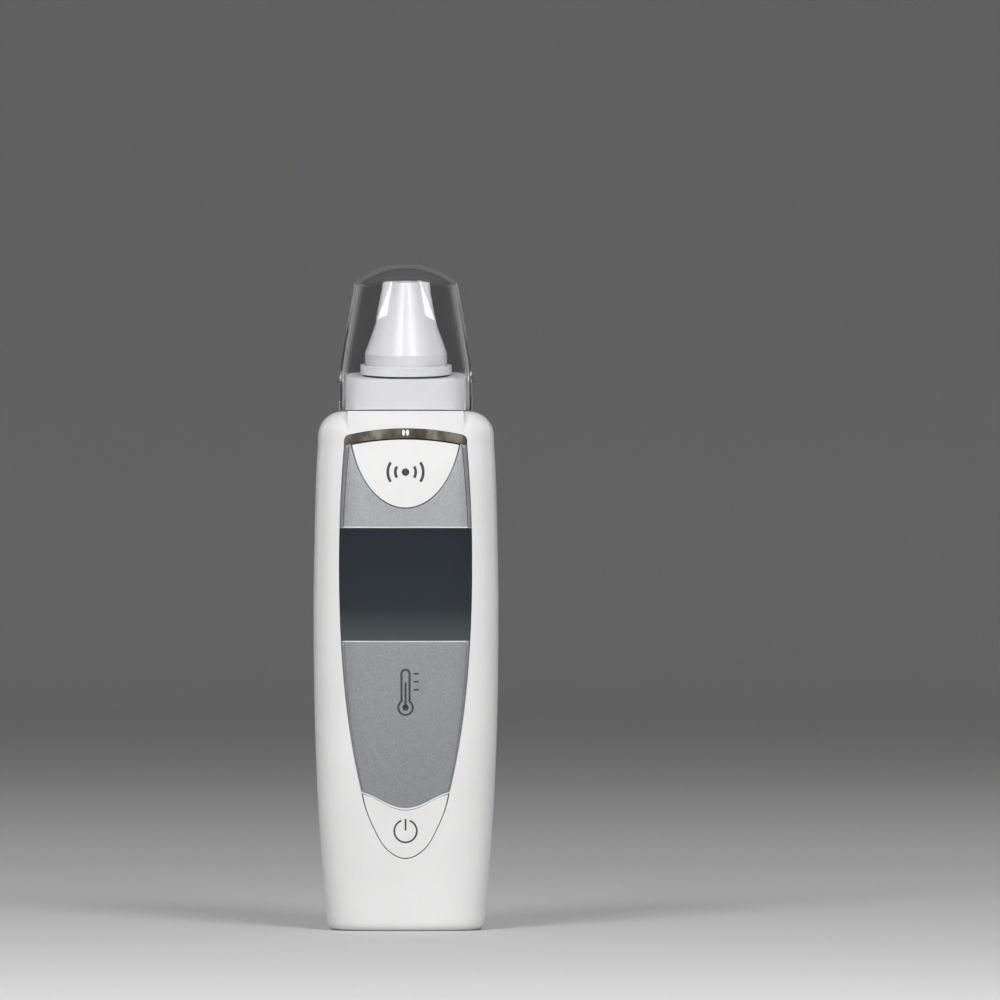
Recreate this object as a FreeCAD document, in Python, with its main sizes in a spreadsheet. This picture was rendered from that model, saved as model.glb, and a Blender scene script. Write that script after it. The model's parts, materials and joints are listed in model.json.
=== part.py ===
"""Infrared ear thermometer, standing on its base: front towards -Y, up +Z, in millimetres.

The origin is in the middle of the footprint, on the surface that the base stands on.
"""
import FreeCAD, Part
import Sketcher
import math
import os

Vector = FreeCAD.Vector
X_AXIS = Vector(1, 0, 0)
Y_AXIS = Vector(0, 1, 0)
Z_AXIS = Vector(0, 0, 1)

doc = FreeCAD.newDocument("ear_thermometer")
sheet = doc.addObject("Spreadsheet::Sheet", "Sizes")

SIZES = {
    # casing: an oval section that changes with height
    "waist_width": 17.3, "waist_height": 58, "base_taper": 2.7, "neck_taper": 0.8, "neck_span": 34,
    "front_depth": 12, "front_fall": 1.8, "front_crest": 62,
    "rear_depth": 12, "rear_fall": 1, "rear_crest": 55,
    "casing_height": 97, "base_roll": 1.6, "top_roll": 4.4, "shoulder_radius": 4.7, "tongue_half": 10.8,
    "tongue_low": 88, "tongue_setback": 0.05, "parting_gap": 0.12,
    "wall": 2, "button_proud": 0.25, "fit_gap": 0.08, "travel_gap": 0.2,
    # face panel, display window, light bar
    "panel_thickness": 1, "recess_depth": 1.05, "panel_top": 90.6, "panel_top_rise": 1.2,
    "panel_bottom": 26.1, "panel_bottom_dip": 3, "panel_top_width": 11.4, "panel_bottom_width": 8.15,
    "window_low": 54.2, "window_high": 75.1, "seam_gap": 0.1,
    "view_width": 10.3, "view_low": 56, "view_high": 73.3,
    "bar_low": 90.7, "bar_thick": 1.6, "bar_width": 11.4, "bar_rise": 1.2, "bar_crown": 1.4,
    "bar_corner": 1.2,
    "pipe_width": 3, "pipe_low": 92, "pipe_height": 1.4, "pipe_back": 6.4,
    # buttons and their switches
    "scan_middle": 95.4, "scan_across": 10.4, "scan_down": 16.4, "scan_top": 91.65, "scan_top_radius": 50.9,
    "scan_height": 86, "power_width": 7.95, "power_corner": 25.55, "power_tip": 13.7,
    "power_height": 19.5, "button_skin": 1.2, "lip_width": 0.7, "lip_thick": 0.6, "lip_gap": 0.1,
    "stem_radius": 1.4, "stem_end": 9.3, "switch_size": 4.5, "switch_half": 2.25, "switch_tall": 3.1,
    "plunger_radius": 1.5, "plunger_length": 2.3, "plunger_bore": 1.6, "bore_depth": 2.3,
    # boards and what they carry
    "board_half": 11.6, "board_low": 12, "board_high": 94, "board_front": 5.4, "board_thick": 1.2,
    "board_back": 4.2, "chip_size": 8, "chip_half": 4, "chip_thick": 0.9, "chip_height": 62,
    "crystal_radius": 1.4, "crystal_length": 6, "crystal_x": 7, "crystal_height": 71,
    "capacitor_long": 2, "capacitor_wide": 1.2, "capacitor_pitch": 2.4, "capacitor_x": 7.4,
    "capacitor_height": 60, "buzzer_radius": 5, "buzzer_tall": 2.2, "buzzer_height": 84, "buzzer_port": 0.8,
    "led_wide": 1.6, "led_tall": 1, "led_deep": 0.8, "led_x": 0.4, "led_height": 92.2,
    # display stack
    "glass_half": 11, "glass_low": 54.5, "glass_tall": 20.8, "glass_front": 8.3, "glass_thick": 1.7,
    "light_half": 10.5, "light_low": 56.2, "light_tall": 18.3, "light_thick": 1,
    "frame_half": 11.9, "frame_low": 53.6, "frame_tall": 22.2, "frame_front": 8, "frame_depth": 2.6,
    "frame_hole_half": 11.1, "frame_hole_low": 54.4, "frame_hole_tall": 21, "zebra_half": 10,
    "zebra_low": 54.6, "zebra_tall": 1.2, "zebra_thick": 1.2,
    # battery tray, cells, contacts
    "tray_half": 12.4, "tray_wall": 1, "tray_front": 3.1, "tray_low": 4.6, "tray_high": 54.6,
    "tray_setback": 1.8, "tray_top_setback": 4.5,
    "cell_radius": 5.25, "cell_x": 5.6, "cell_y": 3.5, "cell_length": 43.7, "nub_radius": 1.9,
    "nub_length": 0.8, "cell_a_low": 8.3, "cell_b_low": 6.4,
    "contact_half": 4.2, "contact_low_y": 0.2, "contact_deep": 6.6, "contact_thick": 0.3, "bump_radius": 1.5,
    "bump_thick": 0.5, "spring_radius": 2.6, "spring_wire": 0.35, "spring_pitch": 0.57, "spring_taper": 0.25,
    # battery door
    "door_half": 11.2, "door_low": 5.8, "door_high": 56, "door_corner": 3, "door_thick": 1.5,
    "door_gap": 0.25, "tab_x": 6, "tab_half": 2, "tab_thick": 0.8, "tab_setback": 2.2, "tab_rise": 1.5,
    "tab_root": 3, "catch_half": 4, "catch_tall": 0.8, "catch_reach": 2.4, "catch_rise": 0.4, "grip_pitch": 1.6,
    "grip_radius": 0.45, "grip_half": 4.5, "grip_height": 10,
    # screws
    "boss_x": 10.5, "boss_height": 79.5, "boss_radius": 2.6, "boss_split": 0.1, "head_radius": 1.9,
    "head_thick": 1.4, "head_seat": 6.9, "head_bore": 2.05, "shank_radius": 0.95, "shank_length": 12,
    "pilot_radius": 1, "drive_radius": 0.75, "drive_depth": 0.7, "boss_clearance": 2.9,
    "stud_x": 9, "stud_high": 47.5, "stud_low": 31, "stud_radius": 1.9, "stud_pilot": 0.85,
    "stud_shank": 0.8, "stud_hole": 0.95, "stud_head": 1.5, "stud_head_thick": 0.9, "stud_reach": 2.8,
    "stud_screw_length": 3.8,
    # collar and cap
    "collar_width": 11.45, "collar_depth": 9.5, "collar_bore": 6.4, "neck_bore": 6, "lean": 5,
    "lean_height": 104.1, "latch_bump": 0.06, "latch_half": 3, "latch_height": 100,
    "cap_low": 97.15, "cap_rim_width": 12.4, "cap_rim_depth": 10.5, "cap_wall": 0.8, "cap_rim_height": 104.5,
    "cap_side_slope": 0.173, "cap_face_fall": 2.6, "crown_height": 124.6, "crown_radius": 15.1,
    "crown_edge": 1.2, "ear_low": 102.3, "ear_high": 110.5, "ear_half": 3.2, "ear_reach": 13,
    "ear_embed": 10.6,
    # probe, along its own leaning axis
    "flange_radius": 8.6, "flange_thick": 1.6, "groove_radius": 7.5, "groove_top": 2, "nozzle_radius": 7.73,
    "nozzle_shoulder": 3.8, "nozzle_tip": 17.2, "tip_radius": 2.8, "tip_bore": 2.05, "bore_end": 13,
    "cavity_radius": 6.2, "cavity_shoulder": 3.5, "gasket_thick": 0.4, "gasket_outer": 8.1,
    "gasket_inner": 6.5, "lens_radius": 2, "lens_thick": 0.5, "lens_low": 16.5,
    "guide_outer": 1.9, "guide_inner": 1.4, "guide_low": 7.4, "guide_length": 9.1,
    "can_radius": 2.4, "can_low": 5, "can_tall": 2.3, "can_window": 1.2, "can_window_depth": 0.2,
    "lead_radius": 0.225, "lead_circle": 1.27, "lead_low": 1.8, "lead_length": 3.2,
    "holder_base": 5.6, "holder_low": 3, "holder_step": 4.2, "holder_radius": 3.4, "holder_bore": 2.45,
    "holder_top": 9.2, "holder_floor": 4.9, "holder_eye": 1.8,
    "disc_radius": 5.8, "disc_low": 1, "disc_thick": 0.8,
    "ribbon_half": 2.5, "ribbon_low": 90, "ribbon_tall": 14.6, "ribbon_thick": 0.3,
}

for row, (alias, value) in enumerate(SIZES.items(), start=1):
    sheet.set(f"A{row}", alias)
    sheet.set(f"B{row}", str(value))
    sheet.setAlias(f"B{row}", alias)
doc.recompute()


def size(text):
    """Value of a sum such as "board_front - board_thick", read from the sheet."""
    total = 0
    sign = 1
    for word in text.split():
        if word in "+-":
            sign = -1 if word == "-" else 1
        else:
            total += sign * (float(word) if word[0].isdigit() else float(sheet.get(word)))
            sign = 1
    return total


def formula(text):
    """The same sum as an expression on the sheet."""
    return " ".join(word if word in "+-" or word[0].isdigit() else "Sizes." + word for word in text.split())


def bind(item, **sums):
    for name, text in sums.items():
        item.setExpression(name, formula(text))
    return item


def place(item, base, turn=None):
    """Put an object at three bound coordinates, with an optional rotation."""
    if turn:
        item.Placement = FreeCAD.Placement(Vector(), turn)
    for axis, text in zip("xyz", base):
        item.setExpression("Placement.Base." + axis, formula(text))
    return item


def box(name, corner, lengths):
    item = doc.addObject("Part::Box", name)
    bind(item, Length=lengths[0], Width=lengths[1], Height=lengths[2])
    return place(item, corner)


TURN_TO_REAR = FreeCAD.Rotation(X_AXIS, -90)


def rod(name, radius, length, base, turn=None):
    """A cylinder from its base point, along +Z or along the turned Z."""
    item = doc.addObject("Part::Cylinder", name)
    bind(item, Radius=radius, Height=length)
    return place(item, base, turn)


def ring(name, radius, wire, base):
    item = doc.addObject("Part::Torus", name)
    bind(item, Radius1=radius, Radius2=wire)
    return place(item, base)


def cut(name, base, tools):
    """One base with all tools taken out of it."""
    item = doc.addObject("Part::Cut", name)
    item.Base = base
    item.Tool = tools[0] if len(tools) == 1 else fuse(name + "_tools", tools)
    return item


def fuse(name, pieces):
    item = doc.addObject("Part::MultiFuse", name)
    item.Shapes = pieces
    return item


def group(name, pieces):
    """Several separate solids as one object."""
    item = doc.addObject("Part::Compound", name)
    item.Links = pieces
    return item


def plane_of(body, role):
    return next(item for item in body.Origin.OriginFeatures if item.Role == role)


def turned(name, outline):
    """A body turned about Z from an outline of (radius, height) sums."""
    body = doc.addObject("PartDesign::Body", name)
    sketch = body.newObject("Sketcher::SketchObject", name + "_outline")
    sketch.AttachmentSupport = [(plane_of(body, "XZ_Plane"), "")]
    sketch.MapMode = "FlatFace"
    corners = [Vector(size(radius), size(height), 0) for radius, height in outline]
    for start, end in zip(corners, corners[1:] + corners[:1]):
        sketch.addGeometry(Part.LineSegment(start, end))
    count = len(corners)
    for edge in range(count):
        sketch.addConstraint(Sketcher.Constraint("Coincident", edge, 2, (edge + 1) % count, 1))
    for edge, coordinates in enumerate(outline):
        for kind, axis, text in zip(("DistanceX", "DistanceY"), (-2, -1), coordinates):
            if text == "0":
                sketch.addConstraint(Sketcher.Constraint("PointOnObject", edge, 1, axis))
            else:
                datum = sketch.addConstraint(Sketcher.Constraint(kind, -1, 1, edge, 1, size(text)))
                sketch.setExpression(f"Constraints[{datum}]", formula(text))
    feature = body.newObject("PartDesign::Revolution", name + "_revolution")
    feature.Profile = sketch
    feature.ReferenceAxis = (sketch, ["V_Axis"])
    feature.Angle = 360
    return body


def free_shape(name, shape):
    """A sub-part whose curved shape comes straight from Part."""
    item = doc.addObject("Part::Feature", name)
    item.Shape = shape
    return item


# --- casing: oval sections lofted upwards, repeated at any depth below the surface ---

FRONT_POWER = 3.2
REAR_POWER = 2.8
CAP_POWER = 3.6
CROWN_POWER = 2.5
SECTION_POINTS = 40
SHOULDER_STEPS = 6
ROLL_STEPS = 3
MAIN_LEVELS = (4, 8, 14, 22, 32, 44, 56, 68, 80, 88)
CAP_LEVELS = 13


def oval(width, front, rear, height, front_power, rear_power):
    """Closed superellipse wire, flatter on the front than an ellipse."""
    points = []
    for step in range(SECTION_POINTS):
        angle = 2 * math.pi * step / SECTION_POINTS
        across, deep = math.cos(angle), math.sin(angle)
        power, reach = (rear_power, rear) if deep > 0 else (front_power, front)
        points.append(Vector(math.copysign(width * abs(across) ** (2 / power), across),
                             math.copysign(reach * abs(deep) ** (2 / power), deep), height))
    curve = Part.BSplineCurve()
    curve.interpolate(points, PeriodicFlag=True)
    return Part.Wire([curve.toShape()])


def half_width(height):
    below = size("waist_height") - height
    if below > 0:
        return size("waist_width") - size("base_taper") * (below / size("waist_height")) ** 2.2
    return size("waist_width") - size("neck_taper") * (below / size("neck_span")) ** 2


def front_reach(height):
    crest = size("front_crest")
    return size("front_depth") - size("front_fall") * ((height - crest) / crest) ** 2


def rear_reach(height):
    crest = size("rear_crest")
    return size("rear_depth") - size("rear_fall") * ((height - crest) / crest) ** 2


def casing(inset):
    """Solid bounded by the casing's outer surface moved inwards by inset."""
    sections = []

    def add(height, width, roll=0):
        sections.append(oval(width, front_reach(height) - roll, rear_reach(height) - roll, height,
                             FRONT_POWER, REAR_POWER))

    roll = size("base_roll")
    if inset < roll:
        for step in range(ROLL_STEPS + 1):
            angle = math.pi / 2 * step / ROLL_STEPS
            drawn_in = roll - (roll - inset) * math.sin(angle)
            height = roll - (roll - inset) * math.cos(angle)
            add(height, half_width(height) - drawn_in, drawn_in)
    else:
        add(inset, half_width(inset) - inset, inset)
    for height in MAIN_LEVELS:
        add(height, half_width(height) - inset, inset)
    radius = size("shoulder_radius") - inset
    start = size("casing_height") - size("shoulder_radius")
    middle = half_width(start) - size("shoulder_radius")
    lip = size("top_roll")
    lip_start = size("casing_height") - lip
    for step in range(SHOULDER_STEPS + 1):
        angle = math.pi / 2 * step / SHOULDER_STEPS
        height = start + radius * math.sin(angle)
        drawn_in = inset
        if height > lip_start and inset < lip:
            drawn_in = lip - math.sqrt(max((lip - inset) ** 2 - (height - lip_start) ** 2, 0))
        add(height, middle + radius * math.cos(angle), drawn_in)
    return Part.makeLoft(sections, True, False)


# --- outlines on the front face, drawn in X and Z ---

REACH = 30


def point(x, z):
    return Vector(x, -REACH, z)


def prism(edges, depth=REACH):
    """Solid swept from in front of the object back by depth, over a closed outline."""
    return Part.Face(Part.Wire(Part.__sortEdges__(edges))).extrude(Vector(0, depth, 0))


def arc(start, middle, end):
    return Part.Arc(point(*start), point(*middle), point(*end)).toShape()


def spline(points):
    curve = Part.BSplineCurve()
    curve.interpolate([point(*spot) for spot in points])
    return curve.toShape()


def mirrored(points):
    return [(-x, z) for x, z in points]


def smile(half, height, dip):
    """Points along an edge that leaves both corners level and dips to the middle."""
    shares = [step / 4 - 1 for step in range(9)]
    return [(half * share, height - dip * ((1 + math.cos(math.pi * share)) / 2) ** 0.75) for share in shares]


def panel_prism(grow):
    """Silver face panel: full at the display, drawn in to a smile above the power button."""
    top, bottom = size("panel_top") + grow, size("panel_bottom") - grow
    side = [(size("panel_bottom_width") + grow, bottom), (10.65 + grow, 39.5), (11.88 + grow, 52.3),
            (12.35 + grow, 68), (12.1 + grow, 80), (size("panel_top_width") + grow, top)]
    other = mirrored(side)
    return prism([spline(side), spline(other),
                  arc(side[-1], (0, top + size("panel_top_rise")), other[-1]),
                  spline(smile(*side[0], size("panel_bottom_dip")))])


def bar_prism(grow):
    """Light bar: a shallow arch that is thickest in the middle."""
    width, low = size("bar_width") + grow, size("bar_low") - grow
    high = size("bar_low + bar_thick") + grow
    low_middle = (0, low + size("bar_rise"))
    high_middle = (0, high + size("bar_crown"))
    block = prism([arc((-width, low), low_middle, (width, low)), arc((-width, high), high_middle, (width, high)),
                   Part.makeLine(point(width, low), point(width, high)),
                   Part.makeLine(point(-width, low), point(-width, high))])
    corners = [edge for edge in block.Edges
               if edge.BoundBox.YLength > REACH / 2 and edge.BoundBox.ZMin > (low + high) / 2]
    return block.makeFillet(size("bar_corner"), corners)


def scan_prism(grow):
    """Scan button: the lower part of an ellipse under a shallow arch."""
    ellipse = Part.Ellipse(point(0, size("scan_middle") + size("scan_down") + grow),
                           point(size("scan_across") + grow, size("scan_middle")),
                           point(0, size("scan_middle")))
    radius = size("scan_top_radius") + grow
    arch = Part.makeCylinder(radius, REACH, point(0, size("scan_top - scan_top_radius")), Y_AXIS)
    return prism([ellipse.toShape()]).common(arch)


def power_prism(grow):
    """Power button: a shield under the panel's edge, grown about its middle."""
    middle = size("power_height")
    scale = 1 + grow / size("power_tip - power_height + 12")
    side = [(size("power_width"), size("power_corner")), (6.85, 21.6), (5.5, 18.6), (3.8, 15.8),
            (0, size("power_tip"))]
    side = [(x * scale, middle + (z - middle) * scale) for x, z in side]
    top = smile(*side[0], size("panel_bottom_dip") * scale)
    return prism([spline(side + mirrored(side)[-2::-1]), spline(top)])


def slab(half, low, high, front=-REACH, rear=REACH):
    return Part.makeBox(2 * half, rear - front, high - low, Vector(-half, front, low))


def tube_along_y(x, height, radius, front, rear):
    return Part.makeCylinder(radius, rear - front, Vector(x, front, height), Y_AXIS)


SURFACE = casing(0)
TONGUE_LEVEL = size("casing_height - top_roll")
PROUD = casing(-size("button_proud"))
RECESS = casing(size("recess_depth"))
PANEL_BACK = casing(size("panel_thickness"))
INSIDE = casing(size("wall"))
SHELL = SURFACE.cut(INSIDE)
FRONT_HALF = slab(REACH, -REACH, 5 * REACH, -REACH, 0)
REAR_HALF = slab(REACH, -REACH, 5 * REACH, size("parting_gap"), REACH)
NECK = Part.makeCylinder(size("neck_bore"), 10, Vector(0, 0, size("casing_height") - 5))
SIDES = (-1, 1)


def boss_spots():
    return [(side * size("boss_x"), size("boss_height")) for side in SIDES]


def stud_spots():
    return [(side * size("stud_x"), size(height)) for side in SIDES for height in ("stud_low", "stud_high")]


def tongue():
    """Upright stub that carries the collar: flush with the two faces, proud of the rolled shoulders."""
    setback = size("tongue_setback")
    section = oval(half_width(TONGUE_LEVEL) - setback, front_reach(TONGUE_LEVEL) - setback,
                   rear_reach(TONGUE_LEVEL) - setback, size("tongue_low"), FRONT_POWER, REAR_POWER)
    block = Part.Face(section).extrude(Vector(0, 0, size("casing_height - tongue_low")))
    return block.common(slab(size("tongue_half"), -REACH, 5 * REACH)).cut(INSIDE)


def front_shell():
    shape = SHELL.fuse(TONGUE).common(FRONT_HALF).cut(NECK)
    shape = shape.cut(panel_prism(size("fit_gap")).cut(RECESS))
    shape = shape.cut(slab(size("view_width"), size("view_low"), size("view_high"), -REACH, 0))
    for hole in (bar_prism(size("fit_gap")), scan_prism(size("travel_gap")), power_prism(size("travel_gap"))):
        shape = shape.cut(hole)
    core = casing(size("wall") - size("fit_gap"))
    for x, height in boss_spots():
        boss = tube_along_y(x, height, size("boss_radius"), -REACH, -size("boss_split")).common(core)
        pilot = tube_along_y(x, height, size("pilot_radius"), -size("head_seat"), REACH)
        shape = shape.fuse(boss.cut(pilot))
    for x, height in stud_spots():
        stud = tube_along_y(x, height, size("stud_radius"), -REACH, -size("board_front")).common(core)
        pilot = tube_along_y(x, height, size("stud_pilot"), -size("board_front + stud_reach"), REACH)
        shape = shape.fuse(stud.cut(pilot))
    return free_shape("front_shell", shape)


def door_prism(grow):
    """Door outline: a rectangle with rounded corners, swept over the rear half."""
    half = size("door_half") + grow
    low, high = size("door_low") - grow, size("door_high") + grow
    block = slab(half, low, high, 0, REACH)
    upright = [edge for edge in block.Edges if edge.BoundBox.YLength > REACH / 2]
    return block.makeFillet(size("door_corner"), upright)


def rear_shell():
    shape = SHELL.fuse(TONGUE).common(REAR_HALF).cut(NECK).cut(door_prism(size("door_gap")))
    front, low, high = -size("tray_front"), size("tray_low"), size("tray_high")
    half, wall = size("tray_half"), size("tray_wall")
    tray = slab(half, low, high, front, REACH)
    tray = tray.cut(slab(half - wall, low + wall, high - wall, front + wall, REACH))
    tray = tray.common(casing(size("tray_setback")))
    notch = slab(half - wall, high - 2 * wall, high + wall, 0, REACH).cut(casing(size("tray_top_setback")))
    shape = shape.fuse(tray.cut(notch))
    core = casing(size("wall") - size("fit_gap"))
    for x, height in boss_spots():
        boss = tube_along_y(x, height, size("boss_radius"), size("boss_split"), REACH).common(core)
        shape = shape.fuse(boss)
        shape = shape.cut(tube_along_y(x, height, size("pilot_radius"), 0, REACH))
        shape = shape.cut(tube_along_y(x, height, size("head_bore"), size("head_seat"), REACH))
    return free_shape("rear_shell", shape.removeSplitter())


def battery_door():
    """Door plate with two hook tabs at the top, a catch at the bottom and thumb ridges."""
    plate = door_prism(0).common(SURFACE).cut(casing(size("door_thick")))
    high, setback = size("door_high"), size("tab_setback")
    band = casing(setback).cut(casing(setback + size("tab_thick")))
    root = casing(size("door_thick") - size("fit_gap")).cut(casing(setback + size("tab_thick")))
    for side in SIDES:
        middle = side * size("tab_x")
        reach = Part.makeBox(2 * size("tab_half"), REACH, size("tab_root") + size("tab_rise"),
                             Vector(middle - size("tab_half"), 0, high - size("tab_root")))
        arm = Part.makeBox(2 * size("tab_half"), REACH, size("tab_root") - size("door_gap"),
                           Vector(middle - size("tab_half"), 0, high - size("tab_root")))
        plate = plate.fuse(band.common(reach)).fuse(root.common(arm))
    low = size("door_low + catch_rise")
    catch = slab(size("catch_half"), low, low + size("catch_tall"), 0, REACH)
    plate = plate.fuse(catch.common(casing(size("door_thick") - size("fit_gap")))
                       .cut(casing(size("door_thick") + size("catch_reach"))))
    for step in range(4):
        height = size("grip_height") + step * size("grip_pitch")
        ridge = Part.makeCylinder(size("grip_radius"), 2 * size("grip_half"),
                                  Vector(-size("grip_half"), rear_reach(height), height), X_AXIS)
        plate = plate.cut(ridge)
    return free_shape("battery_door", plate)


def face_pieces():
    """Silver panel above and below the display, and the dark window between them."""
    sheet_shape = panel_prism(0).common(SURFACE).cut(PANEL_BACK)
    gap = size("seam_gap") / 2
    low, high = size("window_low"), size("window_high")
    upper = sheet_shape.common(slab(REACH, high + gap, 5 * REACH)).cut(scan_prism(size("travel_gap")))
    lower = sheet_shape.common(slab(REACH, -REACH, low - gap))
    window = sheet_shape.common(slab(REACH, low + gap, high - gap))
    return [free_shape("panel_upper", upper), free_shape("panel_lower", lower),
            free_shape("lcd_window", window)]


def light_bar():
    """Clear arch with a stub behind it that picks up the light of the two LEDs."""
    arch = bar_prism(0).common(SURFACE).cut(INSIDE)
    stub = slab(size("pipe_width"), size("pipe_low"), size("pipe_low + pipe_height"), -REACH,
                -size("pipe_back")).common(casing(size("wall") - size("fit_gap")))
    return free_shape("light_bar", arch.fuse(stub).removeSplitter())


def button(name, outline, height):
    """Hollow key with a retaining lip behind the shell and a stem that meets its plunger."""
    skin = outline(0).common(PROUD).cut(casing(size("button_skin")))
    lip_front = size("wall + lip_gap")
    lip_rear = lip_front + size("lip_thick")
    skirt = outline(0).cut(outline(-size("button_skin"))).common(casing(size("button_skin")))
    skirt = skirt.cut(casing(lip_rear))
    lip = outline(size("lip_width")).cut(outline(-size("button_skin"))).common(casing(lip_front))
    lip = lip.cut(casing(lip_rear)).common(slab(REACH, -REACH, size("bar_low")))
    stem = tube_along_y(0, height, size("stem_radius"), -REACH, -size("stem_end"))
    stem = stem.common(casing(size("button_skin") - size("fit_gap")))
    return free_shape(name, skin.fuse([skirt, lip, stem]).removeSplitter())


def switches():
    """A tact switch and its plunger behind each button."""
    made = []
    for name in ("scan", "power"):
        height = name + "_height"
        block = box(name + "_switch_block", ("0 - switch_half", "0 - board_front - switch_tall",
                                             height + " - switch_half"),
                    ("switch_size", "switch_tall", "switch_size"))
        bore = rod(name + "_switch_bore", "plunger_bore", "bore_depth",
                   ("0", "0 - board_front - switch_tall", height), TURN_TO_REAR)
        made.append(cut(name + "_switch", block, [bore]))
        made.append(rod(name + "_plunger", "plunger_radius", "plunger_length",
                        ("0", "0 - stem_end", height), TURN_TO_REAR))
    return made


def main_board():
    blank = box("board_blank", ("0 - board_half", "0 - board_front", "board_low"),
                ("board_half + board_half", "board_thick", "board_high - board_low"))
    tools = []
    for sign in ("0 - ", ""):
        tools.append(rod("boss_notch", "boss_clearance", "board_thick + 2",
                         (sign + "boss_x", "0 - board_front - 1", "boss_height"), TURN_TO_REAR))
        for height in ("stud_low", "stud_high"):
            tools.append(rod("stud_hole", "stud_hole", "board_thick + 2",
                             (sign + "stud_x", "0 - board_front - 1", height), TURN_TO_REAR))
    return cut("main_board", blank, tools)


def board_parts():
    """What is soldered to the two faces of the main board."""
    chip = box("microcontroller", ("0 - chip_half", "0 - board_back", "chip_height"),
               ("chip_size", "chip_thick", "chip_size"))
    crystal = rod("timing_crystal", "crystal_radius", "crystal_length",
                  ("0 - crystal_x", "crystal_radius - board_back", "crystal_height"))
    capacitors = []
    height = "capacitor_height"
    for count in range(4):
        capacitors.append(box(f"capacitor_{count}", ("capacitor_x", "0 - board_back", height),
                              ("capacitor_long", "capacitor_wide", "capacitor_wide")))
        height += " + capacitor_pitch"
    disc = rod("buzzer_disc", "buzzer_radius", "buzzer_tall", ("0", "0 - board_back", "buzzer_height"),
               TURN_TO_REAR)
    port = rod("buzzer_port", "buzzer_port", "1", ("0", "buzzer_tall - board_back - 0.5", "buzzer_height"),
               TURN_TO_REAR)
    leds = [box("led_right", ("led_x", "0 - board_front - led_deep", "led_height"),
                ("led_wide", "led_deep", "led_tall")),
            box("led_left", ("0 - led_x - led_wide", "0 - board_front - led_deep", "led_height"),
                ("led_wide", "led_deep", "led_tall"))]
    return [chip, crystal, group("capacitors", capacitors), cut("buzzer", disc, [port]),
            group("alarm_leds", leds)]


def display():
    glass = box("lcd_glass", ("0 - glass_half", "0 - glass_front", "glass_low"),
                ("glass_half + glass_half", "glass_thick", "glass_tall"))
    light = box("lcd_backlight", ("0 - light_half", "glass_thick - glass_front", "light_low"),
                ("light_half + light_half", "light_thick", "light_tall"))
    outer = box("frame_outer", ("0 - frame_half", "0 - frame_front", "frame_low"),
                ("frame_half + frame_half", "frame_depth", "frame_tall"))
    hole = box("frame_hole", ("0 - frame_hole_half", "0 - frame_front - 1", "frame_hole_low"),
               ("frame_hole_half + frame_hole_half", "frame_depth + 2", "frame_hole_tall"))
    zebra = box("zebra_strip", ("0 - zebra_half", "glass_thick - glass_front", "zebra_low"),
                ("zebra_half + zebra_half", "zebra_thick", "zebra_tall"))
    return [glass, light, cut("lcd_frame", outer, [hole]), zebra]


def cell(name, x, low, nub):
    """AAA cell; nub is the height at which its plus terminal starts."""
    can = rod(name + "_can", "cell_radius", "cell_length", (x, "cell_y", low))
    terminal = rod(name + "_nub", "nub_radius", "nub_length", (x, "cell_y", nub))
    return fuse(name, [can, terminal])


def plate(name, x, low):
    return box(name, (x + " - contact_half", "contact_low_y", low),
               ("contact_half + contact_half", "contact_deep", "contact_thick"))


def spring(name, x, low, step):
    """Conical spring drawn as touching coils; step is + from the bottom plate up or - from the top down."""
    coils = []
    height = low
    radius = "spring_radius"
    for count in range(4):
        coils.append(ring(f"{name}_{count}", radius, "spring_wire", (x, "cell_y", height)))
        height += step + "spring_pitch"
        radius += " - spring_taper"
    return coils


def battery_parts():
    """Two cells side by side, one each way up, and the three contacts that link them."""
    left, right = "0 - cell_x", "cell_x"
    floor = "tray_low + tray_wall"
    roof = "tray_high - tray_wall - contact_thick"
    minus = fuse("battery_contact_minus", [plate("minus_plate", left, floor)]
                 + spring("minus_coil", left, floor + " + contact_thick + spring_wire - 0.02", " + "))
    plus = fuse("battery_contact_plus",
                [plate("plus_plate", right, floor),
                 rod("plus_bump", "bump_radius", "bump_thick", (right, "cell_y", floor + " + contact_thick"))])
    strap = box("bridge_plate", (left + " - contact_half", "contact_low_y", roof),
                ("cell_x + cell_x + contact_half + contact_half", "contact_deep", "contact_thick"))
    bump = rod("bridge_bump", "bump_radius", "bump_thick", (left, "cell_y", roof + " - bump_thick"))
    bridge = fuse("battery_bridge", [strap, bump]
                  + spring("bridge_coil", right, roof + " - spring_wire + 0.02", " - "))
    return [minus, plus, bridge,
            cell("battery_cell_a", left, "cell_a_low", "cell_a_low + cell_length"),
            cell("battery_cell_b", right, "cell_b_low + nub_length", "cell_b_low")]


def screw(name, x, seat, height, radii, lengths):
    """Pan-head screw that points to the front, with a round drive recess."""
    head = rod(name + "_head", radii[0], lengths[0], (x, seat, height), TURN_TO_REAR)
    shank = rod(name + "_shank", radii[1], lengths[1], (x, seat + " - " + lengths[1], height), TURN_TO_REAR)
    recess = rod(name + "_drive", "drive_radius", "1", (x, seat + " + " + lengths[0] + " - drive_depth", height),
                 TURN_TO_REAR)
    return cut(name, fuse(name + "_blank", [head, shank]), [recess])


def screws():
    case, board = [], []
    for sign in ("0 - ", ""):
        case.append(screw("case_screw", sign + "boss_x", "head_seat", "boss_height",
                          ("head_radius", "shank_radius"), ("head_thick", "shank_length")))
        for height in ("stud_low", "stud_high"):
            board.append(screw("board_screw", sign + "stud_x", "0 - board_back", height,
                               ("stud_head", "stud_shank"), ("stud_head_thick", "stud_screw_length")))
    return [group("case_screws", case), group("board_screws", board)]


LEAN = FreeCAD.Rotation(X_AXIS, size("lean"))


def leaning(item):
    """Stand a piece on the probe's axis, which leans towards the front."""
    return place(item, ("0", "0", "lean_height"), LEAN)


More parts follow.
